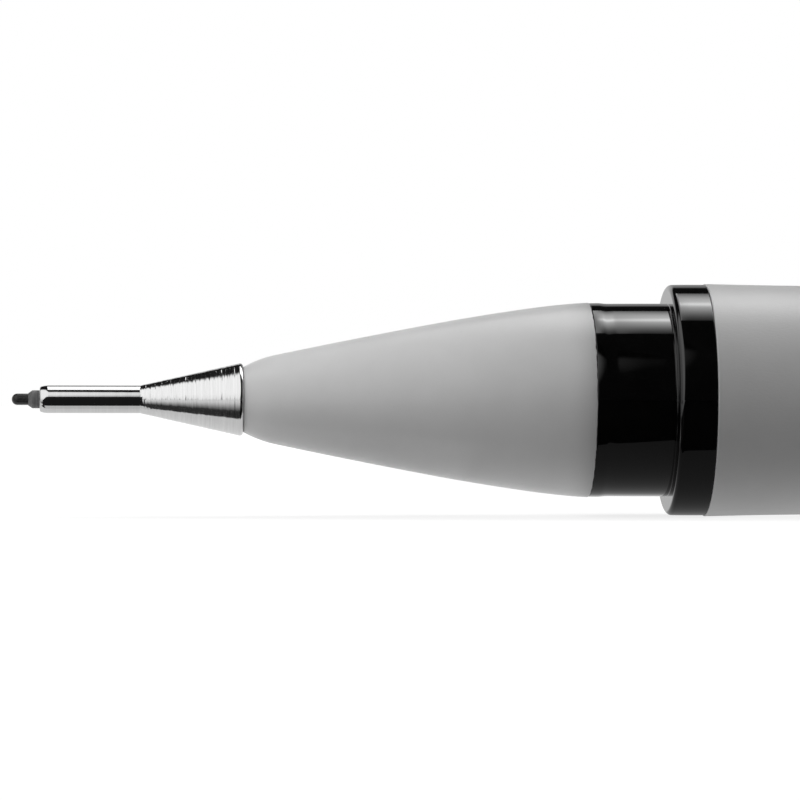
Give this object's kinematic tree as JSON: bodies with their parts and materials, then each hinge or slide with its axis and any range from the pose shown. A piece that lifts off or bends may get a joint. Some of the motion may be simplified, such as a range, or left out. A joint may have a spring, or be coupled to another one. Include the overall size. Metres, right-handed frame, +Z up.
{
  "type": "fineliner pen",
  "caption": "Fineliner pen with a metal-clad nib, tapered grip, black stop collar and round barrel, its clipped cap posted on the tail.",
  "frame": {"origin": "writing point of the nib, on the pen's axis", "axes": "+X along the pen from the writing point to the tail, +Z up from the surface that the pen lies on"},
  "size_m": [0.1559, 0.0118, 0.0106],
  "materials": {
    "nib_fibre": "dark capillary rod, wet with ink",
    "sheath_plastic": "mid grey, fine turned rings",
    "tube_steel": "drawn and polished",
    "cone_steel": "turned, with lathe marks",
    "grip_plastic": "fine matte grain, grey",
    "black_plastic": "moulded gloss black",
    "barrel_plastic": "satin grey",
    "ink_fibre": "bonded fibre soaked with ink",
    "clear_film": "thin pale film",
    "seal_plastic": "natural soft plastic",
    "clip_steel": "stamped and plated"
  },
  "bodies": {
    "pen": {"writing_nib": "nib_fibre", "nib_sheath": "sheath_plastic", "tip_tube": "tube_steel", "tip_cone": "cone_steel", "grip_section": "grip_plastic", "stop_collar": "black_plastic", "barrel": "barrel_plastic", "ink_reservoir": "ink_fibre", "reservoir_film": "clear_film", "tail_plug": "black_plastic"},
    "cap": {"cap_shell": "barrel_plastic", "cap_inner_seal": "seal_plastic", "cap_crown": "black_plastic"},
    "clip": {"cap_clip": "clip_steel"}
  },
  "joints": [
    {"name": "cap_pull", "type": "slide", "parent": "pen", "child": "cap", "axis": [1, 0, 0], "range_m": [0, 0.0225]},
    {"name": "clip_flex", "type": "hinge", "parent": "cap", "child": "clip", "pos_m": [0.15226, -0.00418, -0.00284], "axis": [0, -0.5615, 0.8275], "range_deg": [0, 4], "stiffness_Nm_per_rad": 0.5}
  ]
}
